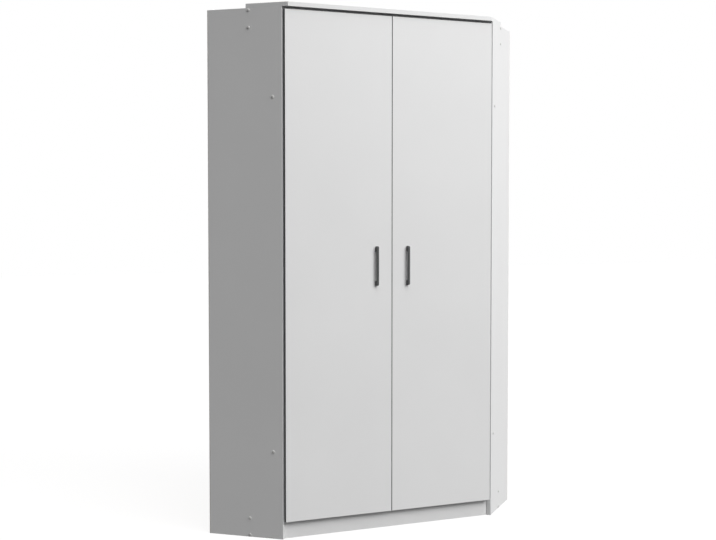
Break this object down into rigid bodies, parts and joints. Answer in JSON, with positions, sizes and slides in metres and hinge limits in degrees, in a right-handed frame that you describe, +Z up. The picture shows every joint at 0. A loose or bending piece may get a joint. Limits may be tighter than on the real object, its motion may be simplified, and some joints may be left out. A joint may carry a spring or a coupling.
{
  "type": "corner wardrobe",
  "caption": "Tall white corner wardrobe with a slanted front, hinged doors with dark bow handles, short side panels, hat shelf and clothes rail.",
  "frame": {"origin": "middle of the bounding box's footprint, on the floor", "axes": "+Z up; the doors face -Y; +X to the right as seen facing the doors; the room's corner is towards +Y"},
  "size_m": [1.3222, 0.8952, 1.98],
  "materials": {
    "white_board": "white melamine-faced chipboard with white edge band, fine satin texture",
    "hardboard": "thin lacquered hardboard, matt white",
    "batten": "planed spruce, bare",
    "graphite_handle": "graphite, satin moulded plastic",
    "nickelled_steel": "bright nickel plate",
    "chromed_tube": "polished chrome plate",
    "grey_plastic": "moulded, matt",
    "white_cap": "moulded polypropylene cap on a steel screw, satin",
    "soft_bumper": "soft translucent polyurethane, matt"
  },
  "bodies": {
    "cabinet": {"left_side_panel": "white_board", "right_side_panel": "white_board", "top_board": "white_board", "roof_board": "white_board", "floor_board": "white_board", "plinth_board": "white_board", "top_cross_rail": "white_board", "bottom_cross_rail": "white_board", "left_back_panel": "hardboard", "right_back_panel": "hardboard", "corner_post": "batten", "hat_shelf": "white_board", "clothes_rail": "chromed_tube", "left_rail_bracket": "nickelled_steel", "left_rail_cap": "grey_plastic", "left_front_shelf_pin": "nickelled_steel", "left_rear_shelf_pin": "nickelled_steel", "left_lower_hinge_plate": "nickelled_steel", "left_lower_hinge_arm": "nickelled_steel", "left_upper_hinge_plate": "nickelled_steel", "left_upper_hinge_arm": "nickelled_steel", "left_floor_screw": "white_cap", "left_bottom_rail_screw": "white_cap", "left_roof_screw": "white_cap", "left_top_rail_screw": "white_cap", "left_lower_hinge_screw": "white_cap", "left_upper_hinge_screw": "white_cap", "right_rail_bracket": "nickelled_steel", "right_rail_cap": "grey_plastic", "right_front_shelf_pin": "nickelled_steel", "right_rear_shelf_pin": "nickelled_steel", "right_lower_hinge_plate": "nickelled_steel", "right_lower_hinge_arm": "nickelled_steel", "right_upper_hinge_plate": "nickelled_steel", "right_upper_hinge_arm": "nickelled_steel", "right_floor_screw": "white_cap", "right_bottom_rail_screw": "white_cap", "right_roof_screw": "white_cap", "right_top_rail_screw": "white_cap", "right_lower_hinge_screw": "white_cap", "right_upper_hinge_screw": "white_cap", "post_shelf_pin": "nickelled_steel"},
    "left_door": {"left_door": "white_board", "left_handle": "graphite_handle", "left_handle_lower_screw": "nickelled_steel", "left_lower_hinge_cup": "nickelled_steel", "left_lower_bumper": "soft_bumper", "left_handle_upper_screw": "nickelled_steel", "left_upper_hinge_cup": "nickelled_steel", "left_upper_bumper": "soft_bumper"},
    "right_door": {"right_door": "white_board", "right_handle": "graphite_handle", "right_handle_lower_screw": "nickelled_steel", "right_lower_hinge_cup": "nickelled_steel", "right_lower_bumper": "soft_bumper", "right_handle_upper_screw": "nickelled_steel", "right_upper_hinge_cup": "nickelled_steel", "right_upper_bumper": "soft_bumper"}
  },
  "joints": [
    {"name": "left_door_hinge", "type": "hinge", "parent": "cabinet", "child": "left_door", "pos_m": [-0.43981, -0.43331, 1.01], "axis": [0, 0, -1], "range_deg": [0, 100]},
    {"name": "right_door_hinge", "type": "hinge", "parent": "cabinet", "child": "right_door", "pos_m": [0.43981, -0.43331, 1.01], "axis": [0, 0, 1], "range_deg": [0, 100]}
  ]
}
